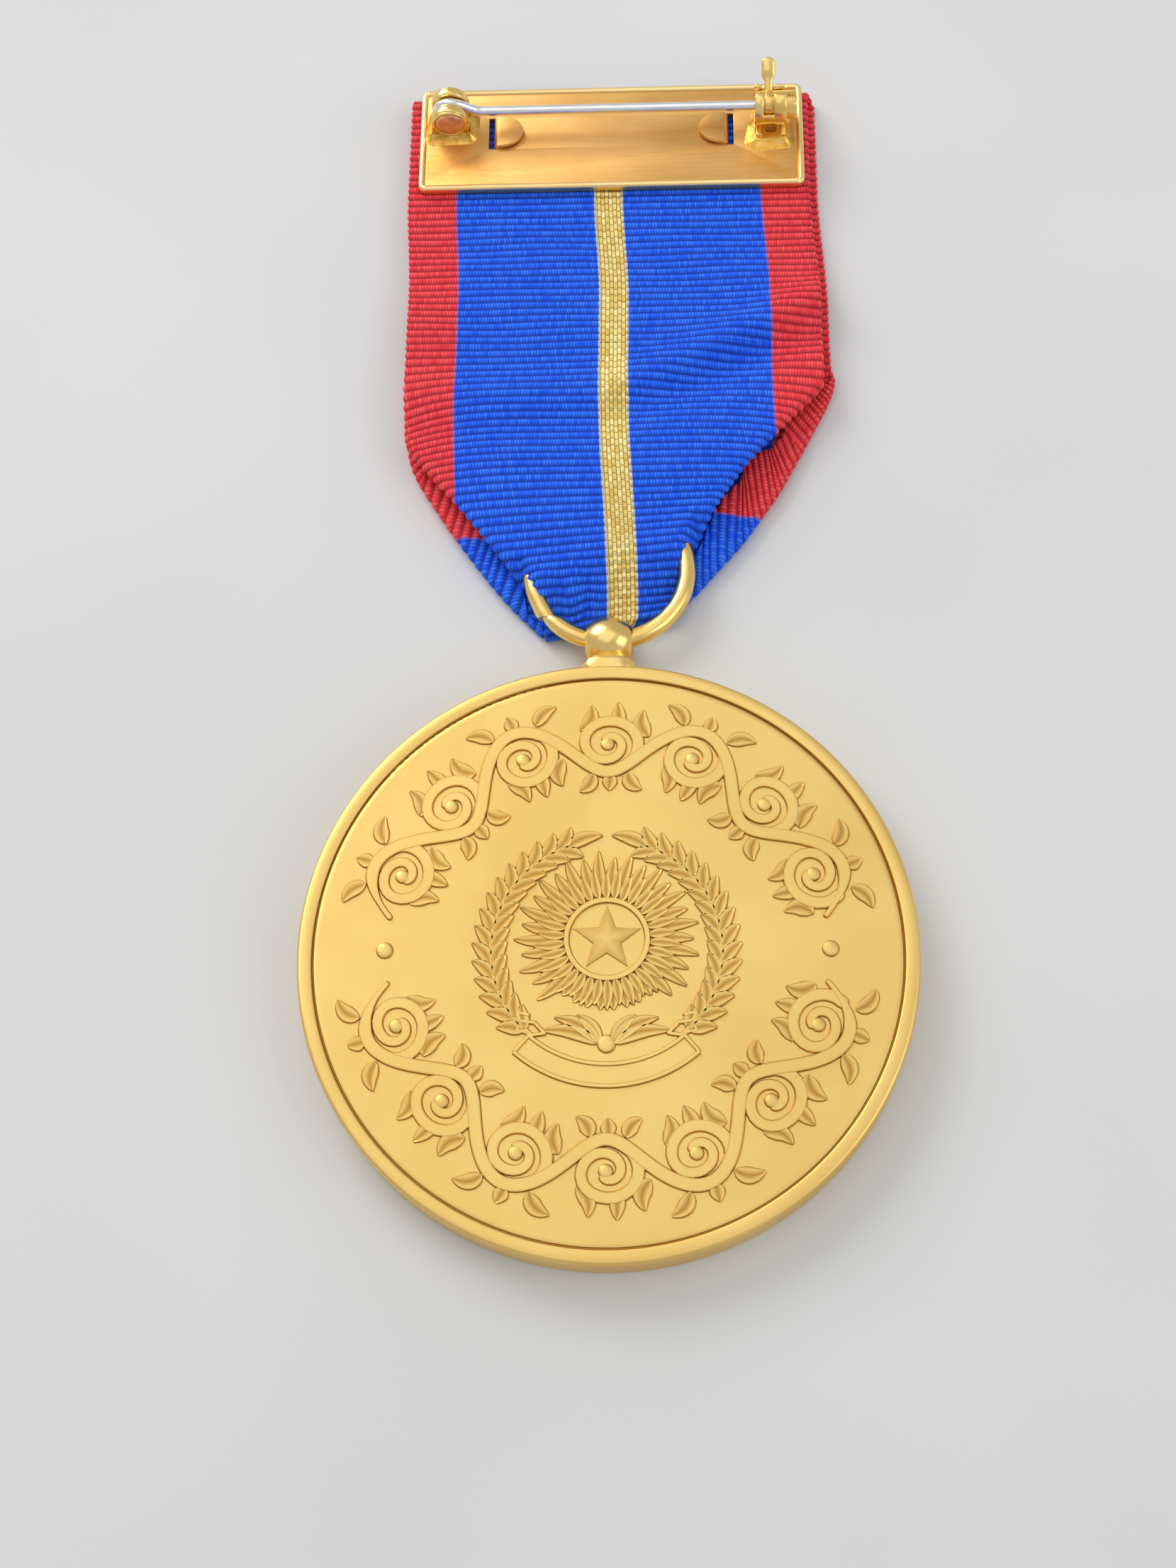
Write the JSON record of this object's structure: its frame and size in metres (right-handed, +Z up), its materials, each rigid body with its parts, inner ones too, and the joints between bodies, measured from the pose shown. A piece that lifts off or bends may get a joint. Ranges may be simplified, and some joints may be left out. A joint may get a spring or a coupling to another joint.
{
  "type": "military service medal",
  "caption": "Round gilt medal hung by a ball and ring from a folded striped ribbon on a pin-back brooch, lying face down.",
  "frame": {"origin": "middle of the medal's outline, on the surface that its face lies on", "axes": "+X along the brooch towards the catch, +Y from the disc to the brooch, +Z up out of the medal's back"},
  "size_m": [0.04, 0.089, 0.0057],
  "materials": {
    "satin_gilt": "satin, sand-blasted field",
    "polished_gilt": "polished",
    "brushed_gilt": "brushed along the plate's length",
    "pin_steel": "bright drawn wire",
    "copper": "coppery rivet",
    "solder": "flowed solder, uneven",
    "ribbon_weave": "ribbed rayon ribbon, blue with red margins and a gold middle stripe"
  },
  "bodies": {
    "brooch": {"back_plate": "brushed_gilt", "carrier_bar": "brushed_gilt", "hinge_bracket": "polished_gilt", "hinge_rivet": "copper", "hinge_solder": "solder", "catch_housing": "polished_gilt", "catch_solder": "solder", "ribbon_head": "ribbon_weave"},
    "pin": {"pin_stem": "pin_steel"},
    "latch": {"catch_rotor": "polished_gilt"},
    "ribbon": {"ribbon_drop": "ribbon_weave"},
    "ring": {"ribbon_tip": "ribbon_weave", "suspension_ring": "polished_gilt"},
    "medal": {"suspension_ball": "polished_gilt", "medal_disc": "satin_gilt"}
  },
  "joints": [
    {"name": "ribbon_flex", "type": "hinge", "parent": "brooch", "child": "ribbon", "pos_m": [0, 0.0325, 0.00077], "axis": [-1, 0, 0], "range_deg": [-45, 45]},
    {"name": "ring_swing", "type": "hinge", "parent": "ribbon", "child": "ring", "pos_m": [0, 0.0109, 0.0017], "axis": [-1, 0, 0], "range_deg": [-45, 45]},
    {"name": "medal_swing", "type": "hinge", "parent": "ring", "child": "medal", "pos_m": [0, -0.0021, 0.0017], "axis": [-1, 0, 0], "range_deg": [-80, 80]},
    {"name": "pin_swing", "type": "hinge", "parent": "brooch", "child": "pin", "pos_m": [-0.0121, 0.0412, 0.00377], "axis": [0, -1, 0], "range_deg": [0, 100]},
    {"name": "latch_turn", "type": "hinge", "parent": "brooch", "child": "latch", "pos_m": [0.0124, 0.0412, 0.00377], "axis": [1, 0, 0], "range_deg": [0, 110]}
  ]
}
